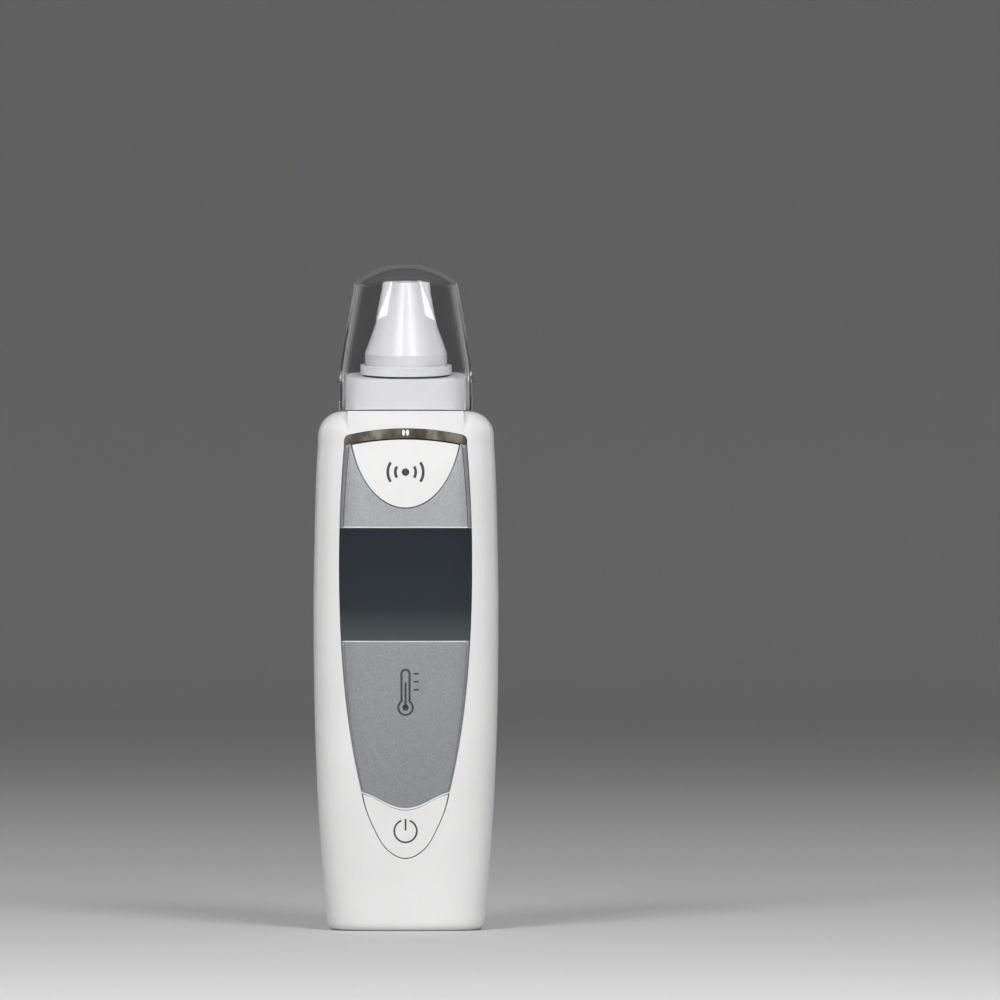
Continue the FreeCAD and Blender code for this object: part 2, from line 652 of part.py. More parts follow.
def probe_collar():
    """Oval stub that the cap grips, with its top sloped like the probe's flange."""
    low = size("casing_height")
    section = oval(size("collar_width"), size("collar_depth"), size("collar_depth"), low, CAP_POWER, CAP_POWER)
    block = Part.Face(section).extrude(Vector(0, 0, 12))
    above = Part.makeBox(60, 60, 30, Vector(-30, -30, -size("gasket_thick")))
    above.Placement = FreeCAD.Placement(Vector(0, 0, size("lean_height")), LEAN).multiply(above.Placement)
    block = block.cut(above).cut(Part.makeCylinder(size("collar_bore"), 20, Vector(0, 0, low - 5)))
    for side in SIDES:
        bump = Part.makeCylinder(1, 2 * size("latch_half"), Vector(0, -size("latch_half"), 0), Y_AXIS)
        bump.translate(Vector(side * (size("collar_width") + size("latch_bump") - 1), 0, size("latch_height")))
        block = block.fuse(bump)
    return free_shape("probe_collar", block.removeSplitter())


def cap_solid(inset):
    """Tapering oval cap under a spherical crown."""
    top = size("crown_height")
    low = size("cap_low") - (inset > 0) * 1
    sections = []
    for step in range(CAP_LEVELS):
        height = low + (top + 1 - low) * step / (CAP_LEVELS - 1)
        rise = max(height - size("cap_rim_height"), 0)
        ease = rise ** 2 / (rise + 1)
        share = rise / (top - size("cap_rim_height"))
        power = CAP_POWER + (CROWN_POWER - CAP_POWER) * share
        depth = size("cap_rim_depth") - size("cap_face_fall") * share ** 2 - inset
        sections.append(oval(size("cap_rim_width") - size("cap_side_slope") * ease - inset, depth, depth,
                             height, power, power))
    crown = Part.makeSphere(size("crown_radius") - inset, Vector(0, 0, top - size("crown_radius")))
    below = Part.makeCylinder(REACH, top - size("crown_radius") - low, Vector(0, 0, low))
    return Part.makeLoft(sections, True, False).common(crown.fuse(below).removeSplitter())


def probe_cap():
    """Clear protective cap with a grip ear on each side."""
    outer = cap_solid(0)
    crown_edges = [edge for edge in outer.Edges
                   if edge.BoundBox.ZMin > 118 and edge.BoundBox.ZLength > 0.3 and edge.Length > 20]
    outer = outer.makeFillet(size("crown_edge"), crown_edges)
    low, high = size("ear_low"), size("ear_high")
    for side in SIDES:
        profile = [Vector(side * size("ear_embed"), -size("ear_half"), low),
                   Vector(side * size("ear_reach"), -size("ear_half"), low),
                   Vector(side * size("ear_embed"), -size("ear_half"), high)]
        face = Part.Face(Part.makePolygon(profile + profile[:1]))
        ear = face.extrude(Vector(0, 2 * size("ear_half"), 0))
        outer = outer.fuse(ear)
    return free_shape("probe_cap", outer.cut(cap_solid(size("cap_wall"))).removeSplitter())


def probe_parts():
    """Nozzle and everything inside it, turned about the probe's axis."""
    nozzle = turned("probe_nozzle", [
        ("cavity_radius", "0"), ("flange_radius", "0"), ("flange_radius", "flange_thick"),
        ("groove_radius", "flange_thick"), ("groove_radius", "groove_top"), ("nozzle_radius", "groove_top"),
        ("nozzle_radius", "nozzle_shoulder"), ("tip_radius", "nozzle_tip"), ("tip_bore", "nozzle_tip"),
        ("tip_bore", "bore_end"), ("cavity_radius", "cavity_shoulder")])
    gasket = turned("nozzle_gasket", [
        ("gasket_inner", "0 - gasket_thick"), ("gasket_outer", "0 - gasket_thick"), ("gasket_outer", "0"),
        ("gasket_inner", "0")])
    lens = turned("probe_window", [
        ("0", "lens_low"), ("lens_radius", "lens_low"), ("lens_radius", "lens_low + lens_thick"),
        ("0", "lens_low + lens_thick")])
    guide_top = "guide_low + guide_length"
    guide = turned("waveguide", [
        ("guide_inner", "guide_low"), ("guide_outer", "guide_low"), ("guide_outer", guide_top),
        ("guide_inner", guide_top)])
    can_top = "can_low + can_tall"
    can = turned("sensor_can", [
        ("0", "can_low"), ("can_radius", "can_low"), ("can_radius", can_top), ("can_window", can_top),
        ("can_window", can_top + " - can_window_depth"), ("0", can_top + " - can_window_depth")])
    holder = turned("sensor_holder", [
        ("holder_eye", "holder_low"), ("holder_base", "holder_low"), ("holder_base", "holder_step"),
        ("holder_radius", "holder_step"), ("holder_radius", "holder_top"), ("holder_bore", "holder_top"),
        ("holder_bore", "holder_floor"), ("holder_eye", "holder_floor")])
    disc_top = "disc_low + disc_thick"
    disc = turned("sensor_board", [
        ("0", "disc_low"), ("disc_radius", "disc_low"), ("disc_radius", disc_top), ("0", disc_top)])
    leads = []
    for sign_x in ("0 - ", ""):
        leads.append(rod("sensor_lead", "lead_radius", "lead_length", (sign_x + "lead_circle", "0", "lead_low")))
        leads.append(rod("sensor_lead", "lead_radius", "lead_length", ("0", sign_x + "lead_circle", "lead_low")))
    parts = [nozzle, gasket, lens, guide, can, holder, disc, group("sensor_leads", leads)]
    for part in parts:
        leaning(part)
    ribbon = box("sensor_ribbon", ("0 - ribbon_half", "0 - board_back", "ribbon_low"),
                 ("ribbon_half + ribbon_half", "ribbon_thick", "ribbon_tall"))
    return parts + [ribbon]


TONGUE = tongue()
nodes = [front_shell(), rear_shell(), battery_door(), light_bar(), probe_collar(), probe_cap(), main_board(),
         button("scan_button", scan_prism, size("scan_height")),
         button("power_button", power_prism, size("power_height"))]
for made in (face_pieces(), switches(), board_parts(), display(), battery_parts(), screws(), probe_parts()):
    nodes.extend(made)
doc.recompute()

broken = [item.Label for item in doc.Objects if "Invalid" in item.State or "Error" in item.State]
for node in nodes:
    if node.Shape.isNull() or not node.Shape.isValid() or not node.Shape.Solids:
        broken.append(node.Label)
if broken:
    raise RuntimeError("failed objects: " + ", ".join(broken))

os.makedirs("parts", exist_ok=True)
for node in nodes:
    node.Shape.exportStep(f"parts/{node.Label}.step")
    print(f"{node.Label}: {len(node.Shape.Solids)} solid(s), {node.Shape.Volume:.1f} mm3")
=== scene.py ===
"""Looks, light and camera for the ear thermometer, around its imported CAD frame."""
import json
import math

import bpy
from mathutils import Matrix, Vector
from mathutils.bvhtree import BVHTree


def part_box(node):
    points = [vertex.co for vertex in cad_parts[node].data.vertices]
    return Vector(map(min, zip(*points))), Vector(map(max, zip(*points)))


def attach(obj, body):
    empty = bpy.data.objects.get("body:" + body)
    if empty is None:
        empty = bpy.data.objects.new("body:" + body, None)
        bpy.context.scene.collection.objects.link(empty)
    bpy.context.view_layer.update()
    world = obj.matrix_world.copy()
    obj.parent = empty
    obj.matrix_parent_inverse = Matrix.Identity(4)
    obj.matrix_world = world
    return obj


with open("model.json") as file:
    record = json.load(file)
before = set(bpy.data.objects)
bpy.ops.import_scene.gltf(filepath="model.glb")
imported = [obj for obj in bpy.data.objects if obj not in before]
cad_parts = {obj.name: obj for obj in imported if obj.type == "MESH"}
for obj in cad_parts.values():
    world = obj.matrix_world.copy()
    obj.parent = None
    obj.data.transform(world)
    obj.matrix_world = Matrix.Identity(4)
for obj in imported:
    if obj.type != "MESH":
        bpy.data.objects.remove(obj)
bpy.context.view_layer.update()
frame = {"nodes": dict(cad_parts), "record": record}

MM = 0.001

# ---------------------------------------------------------------- node helpers


class Look:
    """A Principled material under construction, with its shader nodes at hand."""

    def __init__(self, name, **sockets):
        self.material = bpy.data.materials.new(name)
        self.material.use_nodes = True
        self.tree = self.material.node_tree
        self.shader = self.tree.nodes["Principled BSDF"]
        for socket, value in sockets.items():
            self.shader.inputs[socket.replace("_", " ")].default_value = value
        self.place = self.tree.nodes.new("ShaderNodeTexCoord").outputs["Object"]

    def node(self, kind, **values):
        made = self.tree.nodes.new(kind)
        for name, value in values.items():
            if name in made.inputs:
                made.inputs[name].default_value = value
            else:
                setattr(made, name, value)
        return made

    def link(self, source, target):
        self.tree.links.new(source, target)

    def noise(self, size, detail=3.0, roughness=0.5):
        """Noise whose blobs are about size metres across."""
        texture = self.node("ShaderNodeTexNoise", Scale=1 / size, Detail=detail, Roughness=roughness)
        self.link(self.place, texture.inputs["Vector"])
        return texture.outputs["Fac"]

    def cells(self, size):
        """A random value for each cell of about size metres, for flakes."""
        texture = self.node("ShaderNodeTexVoronoi", Scale=1 / size)
        self.link(self.place, texture.inputs["Vector"])
        return texture.outputs["Color"]

    def stretched_noise(self, size, stretch):
        """Noise drawn out along one axis, for brushing."""
        mapping = self.node("ShaderNodeMapping", Scale=stretch)
        self.link(self.place, mapping.inputs["Vector"])
        texture = self.node("ShaderNodeTexNoise", Scale=1 / size, Detail=2.0)
        self.link(mapping.outputs["Vector"], texture.inputs["Vector"])
        return texture.outputs["Fac"]

    def height_share(self, low, high):
        """0 at the low height, 1 at the high one."""
        height = self.node("ShaderNodeSeparateXYZ")
        self.link(self.place, height.inputs[0])
        share = self.node("ShaderNodeMapRange")
        share.inputs["From Min"].default_value = low
        share.inputs["From Max"].default_value = high
        self.link(height.outputs["Z"], share.inputs["Value"])
        return share.outputs["Result"]

    def times(self, one, other):
        """Two colours multiplied."""
        made = self.node("ShaderNodeVectorMath", operation="MULTIPLY")
        self.link(one, made.inputs[0])
        self.link(other, made.inputs[1])
        return made.outputs[0]

    def ramp(self, source, stops):
        """Colours between stops, each a place from 0 to 1 and a colour."""
        made = self.node("ShaderNodeValToRGB")
        ramp = made.color_ramp
        while len(ramp.elements) < len(stops):
            ramp.elements.new(0.5)
        for element, (position, colour) in zip(ramp.elements, stops):
            element.position = position
            element.color = (*colour, 1)
        self.link(source, made.inputs["Fac"])
        return made.outputs["Color"]

    def spread(self, source, low, high):
        """A value from 0 to 1, stretched to run from low to high."""
        made = self.node("ShaderNodeMapRange")
        made.inputs["To Min"].default_value = low
        made.inputs["To Max"].default_value = high
        self.link(source, made.inputs["Value"])
        return made.outputs["Result"]

    def colour(self, source, dark, light):
        self.link(self.ramp(source, [(0.35, dark), (0.65, light)]), self.shader.inputs["Base Color"])
        return self

    def roughness(self, source, low, high):
        self.link(self.spread(source, low, high), self.shader.inputs["Roughness"])
        return self

    def bump(self, source, depth, strength=1.0):
        made = self.node("ShaderNodeBump", Strength=strength, Distance=depth)
        self.link(source, made.inputs["Height"])
        self.link(made.outputs["Normal"], self.shader.inputs["Normal"])
        return self

    def lets_lamps_through(self, tint):
        """Lamps reach what lies behind clear plastic, as they do through the real thing."""
        clear = self.node("ShaderNodeBsdfTransparent", Color=(*tint, 1))
        path = self.node("ShaderNodeLightPath")
        mix = self.node("ShaderNodeMixShader")
        output = self.tree.nodes["Material Output"]
        self.link(path.outputs["Is Shadow Ray"], mix.inputs[0])
        self.link(self.shader.outputs[0], mix.inputs[1])
        self.link(clear.outputs[0], mix.inputs[2])
        self.link(mix.outputs[0], output.inputs["Surface"])
        return self


def grey(value):
    return (value, value, value)


# ---------------------------------------------------------------- materials


def white_abs():
    """Glossy white casing plastic with a faint grain."""
    look = Look("white_abs", IOR=1.5)
    look.colour(look.noise(18 * MM), (0.80, 0.80, 0.795), (0.84, 0.84, 0.835))
    look.roughness(look.noise(3 * MM), 0.27, 0.35)
    return look.bump(look.noise(0.16 * MM, detail=1.0), 0.004 * MM).material


def silver_face():
    """Silver paint with fine flakes, and painted shade that darkens it towards the foot of the face."""
    look = Look("silver_face", Metallic=0.72, IOR=1.5)
    flakes = look.ramp(look.cells(0.14 * MM), [(0.35, (0.46, 0.475, 0.49)), (0.65, (0.56, 0.575, 0.59))])
    share = look.height_share(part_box("panel_lower")[0][2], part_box("panel_upper")[1][2])
    # Painted shade: the base colour darkens from the top of the face down to its foot.
    fade = look.ramp(share, [(0.0, grey(0.69)), (0.43, grey(0.76)),
                             (0.75, grey(0.96)), (1.0, grey(0.96))])
    look.link(look.times(flakes, fade), look.shader.inputs["Base Color"])
    look.roughness(look.cells(0.2 * MM), 0.34, 0.46)
    return look.bump(look.noise(0.1 * MM, detail=1.0), 0.003 * MM).material


def dark_window():
    """Smoked display window, with painted light that makes it lighter along its lower edge."""
    look = Look("dark_window", IOR=1.5)
    share = look.height_share(*(corner[2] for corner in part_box("lcd_window")))
    # Painted light: the ramp makes the lower edge of the window lighter.
    window_painted_light = look.ramp(share, [(0.0, (0.072, 0.090, 0.094)), (0.10, (0.058, 0.072, 0.076)),
                             (0.3, (0.032, 0.038, 0.043)), (1.0, (0.024, 0.029, 0.036))])
    look.link(window_painted_light, look.shader.inputs["Base Color"])
    look.roughness(look.noise(6 * MM), 0.05, 0.09)
    return look.material


def clear_cap():
    """Thin clear moulding: it bends light little and shines like any gloss plastic; its grey tint is
    painted shade that darkens what is seen through it.
    """
    # Painted shade: the grey base tint darkens everything seen through the cap.
    look = Look("clear_cap", IOR=1.12, Transmission_Weight=1.0, Base_Color=(0.71, 0.71, 0.72, 1),
                Coat_Weight=0.6, Coat_IOR=1.5, Coat_Roughness=0.02)
    look.roughness(look.noise(5 * MM), 0.0, 0.015)
    # Painted shade: the tint on shadow rays dims the lamp light that reaches the parts inside.
    return look.lets_lamps_through((0.845, 0.845, 0.85)).material


def light_guide():
    """Cloudy brown-grey light guide, brighter and darker in streaks along its length."""
    look = Look("light_guide", IOR=1.49, Transmission_Weight=0.3, Coat_Weight=0.6, Coat_Roughness=0.05)
    streaks = look.stretched_noise(2.6 * MM, (1, 1, 0.4))
    look.link(look.ramp(streaks, [(0.34, (0.070, 0.064, 0.050)), (0.5, (0.145, 0.137, 0.10)),
                                  (0.68, (0.37, 0.355, 0.285))]), look.shader.inputs["Base Color"])
    look.roughness(look.noise(2 * MM), 0.12, 0.25)
    return look.material


def led_lens_painted_glow():
    """Milky lens with a faint painted glow."""
    # Painted glow: the emission makes the lens shine without any lamp.
    look = Look("led", IOR=1.5, Emission_Strength=0.1, Emission_Color=(1, 0.98, 0.92, 1))
    look.colour(look.noise(0.4 * MM), (0.80, 0.80, 0.76), (0.90, 0.90, 0.86))
    look.roughness(look.noise(0.8 * MM), 0.1, 0.2)
    return look.material


def plain(name, dark, light, rough, metallic=0.0, grain=0.3 * MM, depth=0.004 * MM):
    """Moulded or metal surface: slight colour drift, uneven gloss and a fine grain."""
    look = Look(name, Metallic=metallic)
    look.colour(look.noise(4 * MM), dark, light)
    look.roughness(look.noise(1.5 * MM), rough - 0.04, rough + 0.06)
    return look.bump(look.noise(grain, detail=1.0), depth).material


def brushed(name, dark, light, rough):
    """Metal with brush lines along its height."""
    look = Look(name, Metallic=1.0)
    look.colour(look.noise(2 * MM), dark, light)
    look.roughness(look.noise(1 * MM), rough, rough + 0.12)
    return look.bump(look.stretched_noise(0.12 * MM, (1, 1, 0.06)), 0.003 * MM).material


def circuit_board():
    """Green solder mask with a clear coat."""
    look = Look("board_green", Coat_Weight=0.4, Coat_Roughness=0.2)
    look.colour(look.noise(1.2 * MM, detail=0.0), (0.010, 0.075, 0.030), (0.016, 0.105, 0.045))
    look.roughness(look.noise(2 * MM), 0.35, 0.5)
    return look.bump(look.cells(1.6 * MM), 0.01 * MM).material


MATERIALS = {
    "white_abs": white_abs(),
    "silver_face": silver_face(),
    "dark_window": dark_window(),
    "light_guide": light_guide(),
    "clear_cap": clear_cap(),
    "lens": plain("lens", (0.10, 0.10, 0.11), (0.14, 0.14, 0.15), 0.12, metallic=0.8),
    "lcd": plain("lcd", (0.16, 0.18, 0.16), (0.20, 0.22, 0.20), 0.12),
    "white_inner": plain("white_inner", grey(0.70), grey(0.76), 0.5),
    "black_plastic": plain("black_plastic", grey(0.016), grey(0.026), 0.4),
    "key_plastic": plain("key_plastic", (0.55, 0.52, 0.42), (0.60, 0.57, 0.47), 0.45),
    "rubber_grey": plain("rubber_grey", grey(0.05), grey(0.07), 0.7, grain=0.15 * MM, depth=0.01 * MM),
    "board_green": circuit_board(),
    "steel": brushed("steel", grey(0.50), grey(0.62), 0.25),
    "holder_metal": brushed("holder_metal", grey(0.58), grey(0.66), 0.3),
    "gold": brushed("gold", (0.75, 0.52, 0.20), (0.85, 0.62, 0.28), 0.16),
    "ceramic": plain("ceramic", (0.25, 0.15, 0.07), (0.32, 0.20, 0.10), 0.5),
    "led": led_lens_painted_glow(),
    "cell_jacket": plain("cell_jacket", (0.02, 0.022, 0.026), (0.035, 0.037, 0.042), 0.28),
}

for part in frame["record"]["subparts"]:
    cad_node = frame["nodes"][part["node"]]
    cad_node.data.materials.clear()
    cad_node.data.materials.append(MATERIALS[part["material_slot"]])

# ---------------------------------------------------------------- printed symbols


def new_piece(name, vertices, faces, material, body):
    """A visible mesh that rides on a body and carries a material."""
    mesh = bpy.data.meshes.new(name)
    mesh.from_pydata(vertices, [], faces)
    mesh.materials.append(material)
    for face in mesh.polygons:
        face.use_smooth = True
    piece = bpy.data.objects.new(name, mesh)
    bpy.context.collection.objects.link(piece)
    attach(piece, body)
    return piece


def thicken(piece, depth):
    """Give a skin a thickness, centred on it."""
    thick = piece.modifiers.new("thickness", "SOLIDIFY")
    thick.thickness = depth
    thick.offset = 0


def sleeve_faces(turns):
    """Faces of a band between two rings, each of as many vertices as turns."""
    return [(turn, (turn + 1) % turns, turns + (turn + 1) % turns, turns + turn)
            for turn in range(turns)]


IN_FRONT = -0.05  # y of a place in front of every surface


def surface_tree(node):
    """Where rays meet a CAD node's surface."""
    source = frame["nodes"][node]
    corners = [source.matrix_world @ vertex.co for vertex in source.data.vertices]
    return BVHTree.FromPolygons(corners, [tuple(face.vertices) for face in source.data.polygons])


def front_at(tree, x, z):
    """The y of the front surface at a place on it."""
    return tree.ray_cast(Vector((x, IN_FRONT, z)), Vector((0, 1, 0)))[0].y


def lay_ink_and_painted_light(name, node, body, laid_look, strips):
    """Ink, and strips of painted shadow and painted highlight, laid on a front surface: each strip is a
    pair of (x, z) edges, draped along the surface.
    """
    tree = surface_tree(node)
    lift = 0.02 * MM
    vertices, faces = [], []
    for left, right in strips:
        start = len(vertices)
        for pair in zip(left, right):
            for x, z in pair:
                vertices.append((x, front_at(tree, x, z) - lift, z))
        for step in range(len(left) - 1):
            base = start + 2 * step
            faces.append((base, base + 2, base + 3, base + 1))
    piece = new_piece(name, vertices, faces, laid_look, body)
    thicken(piece, lift)
    return piece


def arc_strip(centre, radius, width, start, end, steps=40):
    """A band along an arc, with its two edges half a width inside and outside."""
    edges = []
    for reach in (radius - width / 2, radius + width / 2):
        edges.append([(centre[0] + reach * math.sin(start + (end - start) * step / steps),
                       centre[1] + reach * math.cos(start + (end - start) * step / steps))
                      for step in range(steps + 1)])
    return edges


def disc_strip(centre, radius):
    """A filled disc, as a ring as wide as its radius."""
    return arc_strip(centre, radius / 2, radius, 0, 2 * math.pi, steps=24)


def bar_strip(start, end, width, steps=8):
    """A straight band from start to end."""
    along = (Vector(end) - Vector(start)).normalized()
    side = Vector((along.y, -along.x)) * width / 2
    spots = [Vector(start).lerp(Vector(end), step / steps) for step in range(steps + 1)]
    return [[tuple(spot + side) for spot in spots], [tuple(spot - side) for spot in spots]]


INK = plain("printed_ink", grey(0.045), grey(0.065), 0.5)
TRIM = plain("panel_trim", (0.26, 0.265, 0.27), (0.31, 0.315, 0.32), 0.22, metallic=0.3)
# Painted shadow: a dark strip laid beside the upper trim bead, where its shade falls.
PAINTED_SHADOW = plain("panel_painted_shadow", grey(0.06), grey(0.09), 0.6)
CELL_SLEEVE = plain("cell_sleeve", (0.52, 0.53, 0.55), (0.60, 0.61, 0.63), 0.25, metallic=0.9)
CELL_RING = plain("cell_ring", grey(0.60), grey(0.68), 0.35)
# Painted highlight: a pale strip that stands for the light on the window's edges.
PAINTED_EDGE_HIGHLIGHT = plain("painted_edge_highlight", grey(0.72), grey(0.80), 0.2)


def power_symbol():
    """The usual sign for power: a ring open at the top, with a bar in the opening."""
    low, high = (corner[2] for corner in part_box("power_button"))
    centre_share = 0.43
    centre = (0, low + centre_share * (high - low))
    radius, stroke, opening = 2.1 * MM, 0.32 * MM, math.radians(22)
    bar_low = centre[1] + 0.1 * MM
    bar_top = centre[1] + radius + 0.15 * MM
    lay_ink_and_painted_light("power_symbol", "power_button", "power_key", INK,
            [arc_strip(centre, radius, stroke, opening, 2 * math.pi - opening),
             bar_strip((0, bar_low), (0, bar_top), stroke)])


def scan_symbol():
    """A measuring spot between two pairs of waves, in place of a word."""
    rise, spot_radius, stroke, half_angle = 7.3 * MM, 0.7 * MM, 0.5 * MM, math.radians(33)
    centre = (0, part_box("scan_button")[0][2] + rise)
    strips = [disc_strip(centre, spot_radius)]
    for radius in (1.9 * MM, 3.3 * MM):
        for side in (-1, 1):
            middle = side * math.pi / 2
            strips.append(arc_strip(centre, radius, stroke, middle - half_angle, middle + half_angle,
                                    steps=20))
    lay_ink_and_painted_light("scan_symbol", "scan_button", "scan_key", INK, strips)


def thermometer_symbol():
    """Plain thermometer outline in the lower panel, with a filled bulb and three ticks."""
    low, high = (corner[2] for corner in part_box("panel_lower"))
    bulb_share = 0.60
    bulb = (0, low + bulb_share * (high - low))
    stroke, bulb_radius, filled_radius = 0.38 * MM, 1.35 * MM, 0.6 * MM
    tube_half, tube_length, fluid_gap = 0.75 * MM, 5.2 * MM, 1.6 * MM
    ticks, tick_step, tick_start, tick_end, tick_stroke = 3, 1.5 * MM, 1.5 * MM, 2.5 * MM, 0.8 * stroke
    join = math.asin(tube_half / bulb_radius)
    shoulder = bulb[1] + bulb_radius * math.cos(join)
    top = shoulder + tube_length
    strips = [arc_strip(bulb, bulb_radius, stroke, join, 2 * math.pi - join),
              disc_strip(bulb, filled_radius),
              arc_strip((0, top), tube_half, stroke, -math.pi / 2, math.pi / 2),
              bar_strip((0, bulb[1]), (0, top - fluid_gap), stroke)]
    strips += [bar_strip((side * tube_half, shoulder), (side * tube_half, top), stroke)
               for side in (-1, 1)]
    for tick in range(ticks):
        height = top - tick * tick_step
        strips.append(bar_strip((tick_start, height), (tick_end, height), tick_stroke))
    lay_ink_and_painted_light("thermometer_symbol", "panel_lower", "casing", INK, strips)


def edge_reach(tree, height):
    """How far a face panel reaches to the side at a height, searched over a range of depths."""
    front, depth_step, depths, beside, least = -12, 0.2, 24, 0.05, 5 * MM
    reaches = []
    for step in range(depths):
        depth = (front + depth_step * step) * MM
        hit = tree.ray_cast(Vector((beside, depth, height)), Vector((-1, 0, 0)))[0]
        if hit and hit.x > least:
            reaches.append(hit.x)
    return max(reaches)


def panel_trim(name, node, low_z, high_z, low_width, high_width, with_painted_shadow, steps=48):
    """Smooth grey bead along both sides of a face panel, with or without a painted shadow line beside it.
    """
    tree = surface_tree(node)
    # share of the width, and rise in millimetres
    profile = ((0.0, 0.0), (0.06, 0.10), (0.35, 0.16), (0.8, 0.15), (0.97, 0.08), (1.0, 0.0))
    inset, lift, painted_shadow_width, skin = 0.04 * MM, 0.015, 0.11 * MM, 0.03 * MM
    for side in (-1, 1):
        hand = "left" if side < 0 else "right"
        vertices, faces, painted_shadow_edges = [], [], ([], [])
        for step in range(steps + 1):
            share = step / steps
            height = low_z + (high_z - low_z) * share
            outer = edge_reach(tree, height) - inset
            width = low_width + (high_width - low_width) * share
            for across, rise in profile:
                x = outer - across * width
                depth = front_at(tree, side * x, height) - (rise + lift) * MM
                vertices.append((side * x, depth, height))
            painted_shadow_edges[0].append((side * (outer - width), height))
            painted_shadow_edges[1].append((side * (outer - width - painted_shadow_width), height))
        row = len(profile)
        for step in range(steps):
            for across in range(row - 1):
                corner = step * row + across
                faces.append((corner, corner + 1, corner + row + 1, corner + row))
        bead = new_piece(f"{name}_{hand}", vertices, faces, TRIM, "casing")
        thicken(bead, skin)
        # Painted shadow line beside the bead.
        if with_painted_shadow:
            lay_ink_and_painted_light(f"{name}_groove_{hand}", node, "casing", PAINTED_SHADOW, [painted_shadow_edges])


def collar_painted_shadow():
    """Thin dark ring round the foot of the collar, under the cap's rim: a painted shadow line."""
    tree = surface_tree("probe_collar")
    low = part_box("probe_collar")[0][2]
    turns, stand_off, skin, outside, vertices = 160, 0.02 * MM, 0.03 * MM, 0.04, []
    foot = Vector((0, 0, low + 0.1 * MM))
    for level in (low + 0.01 * MM, low + 0.26 * MM):
        for turn in range(turns):
            angle = 2 * math.pi * turn / turns
            outward = Vector((math.cos(angle), math.sin(angle), 0))
            hit = tree.ray_cast(foot + outward * outside, -outward)[0]
            vertices.append((hit.x + outward.x * stand_off, hit.y + outward.y * stand_off, level))
    # Painted shadow: the dark ring stands for the shade under the cap's rim.
    shadow_ring = new_piece("collar_painted_shadow", vertices, sleeve_faces(turns), MATERIALS["rubber_grey"],
                     "casing")
    thicken(shadow_ring, skin)


def window_painted_highlights():
    """Painted highlight along the edge of the display window, above and below it."""
    half_width, width, gap, steps = 11.75 * MM, 0.24 * MM, 0.03 * MM, 60
    for name, node, side in (("window_painted_highlight_high", "panel_upper", 0), ("window_painted_highlight_low", "panel_lower", 1)):
        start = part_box(node)[side][2] + (-width if side else gap)
        edges = [[(half_width * (2 * step / steps - 1), start + rise) for step in range(steps + 1)]
                 for rise in (0.0, width)]
        lay_ink_and_painted_light(name, node, "casing", PAINTED_EDGE_HIGHLIGHT, [edges])


def cell_bands():
    """Bright metal sleeve end and a pale ring on each cell, at the end that carries the nub."""
    turns, stand_off, skin, nub_reach, nub_depth = 64, 0.02 * MM, 0.02 * MM, 2.5 * MM, 0.05 * MM
    # start and end, in millimetres from the nub's end
    bands = (("sleeve", 0.9, 12.0, CELL_SLEEVE), ("ring", 12.3, 13.0, CELL_RING))
    for node in ("battery_cell_a", "battery_cell_b"):
        source = frame["nodes"][node]
        low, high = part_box(node)
        axis = ((low[0] + high[0]) / 2, (low[1] + high[1]) / 2)
        radius = (high[0] - low[0]) / 2 + stand_off
        crown = [source.matrix_world @ vertex.co for vertex in source.data.vertices]
        upwards = max(math.hypot(spot.x - axis[0], spot.y - axis[1]) for spot in crown
                      if spot.z > high[2] - nub_depth) < nub_reach
        for kind, start, end, material in bands:
            levels = [high[2] - rise * MM if upwards else low[2] + rise * MM for rise in (start, end)]
            vertices = [(axis[0] + radius * math.cos(2 * math.pi * turn / turns),
                         axis[1] + radius * math.sin(2 * math.pi * turn / turns), level)
                        for level in sorted(levels) for turn in range(turns)]
            band = new_piece(f"{node}_{kind}", vertices, sleeve_faces(turns), material,
                             "casing")
            thicken(band, skin)


def led_spots():
    """Two lens tips standing out of the front of the light bar."""
    tree = surface_tree("light_bar")
    low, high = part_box("light_bar")
    height_share, apart = 0.74, 0.36 * MM
    height = low[2] + height_share * (high[2] - low[2])
    radius, tall, deep, rings, turns = 0.29 * MM, 2.0, 0.5, 6, 20
    for side in (-1, 1):
        x = side * apart
        front = front_at(tree, x, height)
        vertices, faces = [(x, front - deep * radius, height)], []
        for ring in range(1, rings + 1):
            lean = math.pi / 2 * ring / rings
            for turn in range(turns):
                angle = 2 * math.pi * turn / turns
                vertices.append((x + radius * math.sin(lean) * math.cos(angle),
                                 front - deep * radius * math.cos(lean),
                                 height + tall * radius * math.sin(lean) * math.sin(angle)))
        for turn in range(turns):
            after = (turn + 1) % turns
            faces.append((0, 1 + turn, 1 + after))
            for ring in range(rings - 1):
                start = 1 + ring * turns
                faces.append((start + turn, start + turns + turn, start + turns + after, start + after))
        hand = "left" if side < 0 else "right"
        # The tips carry the LED material with its painted glow.
        new_piece(f"led_tip_{hand}", vertices, faces, MATERIALS["led"], "casing")


def soften_buttons():
    """Round the sharp rims of both buttons."""
    for key in ("scan_button", "power_button"):
        softened = frame["nodes"][key].modifiers.new("soft_edges", "BEVEL")
        softened.width = 0.35 * MM
        softened.segments = 4
        softened.limit_method = "ANGLE"
        softened.angle_limit = math.radians(50)


power_symbol()
scan_symbol()
thermometer_symbol()
panel_trim("upper_trim", "panel_upper", with_painted_shadow=True,
           low_z=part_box("panel_upper")[0][2] + 0.3 * MM, low_width=0.55 * MM,
           high_z=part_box("light_bar")[0][2] - 0.15 * MM, high_width=0.8 * MM)
panel_trim("lower_trim", "panel_lower", with_painted_shadow=False,
           low_z=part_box("panel_lower")[0][2] + 3.4 * MM, low_width=0.25 * MM,
           high_z=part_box("panel_lower")[1][2] - 0.3 * MM, high_width=0.5 * MM)
window_painted_highlights()
collar_painted_shadow()
led_spots()
cell_bands()
soften_buttons()

# ---------------------------------------------------------------- stage, light and camera


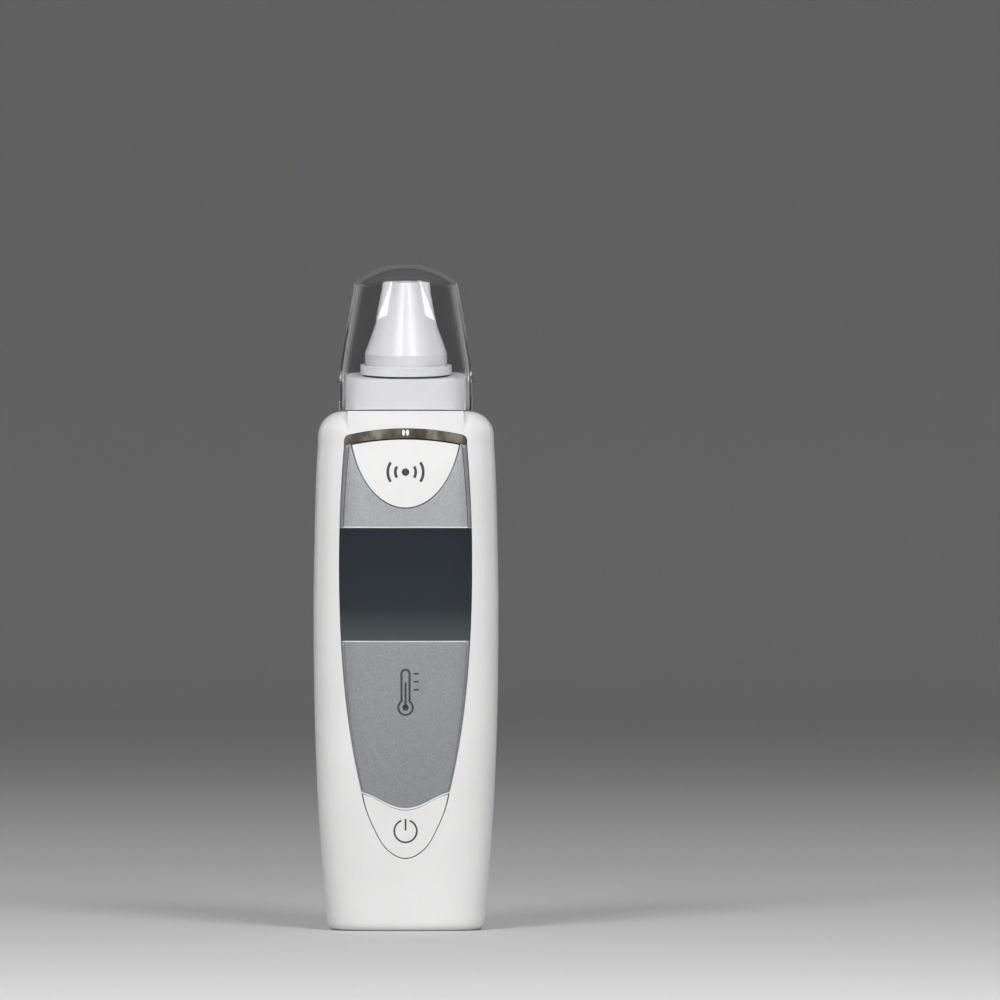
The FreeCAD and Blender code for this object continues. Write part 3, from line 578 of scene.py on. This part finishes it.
def stage_look():
    """Pale floor, and a wall that turns to mid grey with height."""
    look = Look("stage", Roughness=0.8)
    fade = look.ramp(look.height_share(0, 0.5), [(0.0, grey(0.66)), (0.3, grey(0.56)), (1.0, grey(0.52))])
    look.link(fade, look.shader.inputs["Base Color"])
    return look.material


def stage():
    """Round floor that sweeps up into a wall on every side."""
    floor_radius, sweep, wall_top, turns, bends = 2.2, 0.6, 3.0, 96, 16
    profile = [(0.001, 0.0)]
    profile += [(floor_radius + sweep * math.sin(math.pi / 2 * step / bends),
                 sweep - sweep * math.cos(math.pi / 2 * step / bends)) for step in range(bends + 1)]
    profile.append((floor_radius + sweep, wall_top))
    rows = len(profile)
    vertices, faces = [], []
    for turn in range(turns):
        angle = 2 * math.pi * turn / turns
        vertices += [(radius * math.cos(angle), radius * math.sin(angle), z) for radius, z in profile]
        start, after = turn * rows, (turn + 1) % turns * rows
        faces += [(start + row, after + row, after + row + 1, start + row + 1)
                  for row in range(rows - 1)]
    mesh = bpy.data.meshes.new("studio_floor")
    mesh.from_pydata(vertices, [], faces)
    mesh.materials.append(stage_look())
    for face in mesh.polygons:
        face.use_smooth = True
    floor = bpy.data.objects.new("studio_floor", mesh)
    bpy.context.collection.objects.link(floor)


TARGET = Vector((0, 0, 80 * MM))


def softbox(name, azimuth, elevation, distance, width, height, radiance):
    """Rectangular lamp aimed at the object; azimuth 0 is in front of it, positive to the right."""
    turn, rise = math.radians(azimuth), math.radians(elevation)
    offset = Vector((math.sin(turn) * math.cos(rise), -math.cos(turn) * math.cos(rise), math.sin(rise)))
    lamp = bpy.data.lights.new(name, "AREA")
    lamp.shape = "RECTANGLE"
    lamp.size = width
    lamp.size_y = height
    lamp.energy = radiance * math.pi * width * height
    holder = bpy.data.objects.new(name, lamp)
    holder.location = TARGET + offset * distance
    holder.rotation_euler = (-offset).to_track_quat("-Z", "Y").to_euler()
    bpy.context.collection.objects.link(holder)


def lights():
    """Two strips in front that give the cap its highlights, and soft fill from above and behind."""
    for name, azimuth in (("strip_left", -21), ("strip_right", 21)):
        softbox(name, azimuth, elevation=31.5, distance=0.95, width=0.25, height=0.40, radiance=12.6)
    softbox("overhead", 0, elevation=84, distance=1.1, width=0.9, height=0.9, radiance=0.6)
    for name, azimuth in (("back_left", -128), ("back_right", 128)):
        softbox(name, azimuth, elevation=14, distance=1.1, width=0.5, height=0.6, radiance=1.0)
    world = bpy.data.worlds.new("studio")
    world.use_nodes = True
    world.node_tree.nodes["Background"].inputs["Color"].default_value = (1, 1, 1, 1)
    world.node_tree.nodes["Background"].inputs["Strength"].default_value = 0.24
    bpy.context.scene.world = world


def camera():
    """Level view from the front, with the object left of the middle."""
    distance, view_width = 2200 * MM, 187.3 * MM
    aside, eye_height = 17.6 * MM, 80.4 * MM
    lens = bpy.data.cameras.new("camera")
    lens.sensor_width = 36
    lens.lens = lens.sensor_width * distance / view_width
    holder = bpy.data.objects.new("camera", lens)
    holder.location = (aside, -distance, eye_height)
    holder.rotation_euler = (math.pi / 2, 0, 0)
    bpy.context.collection.objects.link(holder)
    bpy.context.scene.camera = holder
    bpy.context.scene.view_settings.view_transform = "Standard"


stage()
lights()
camera()
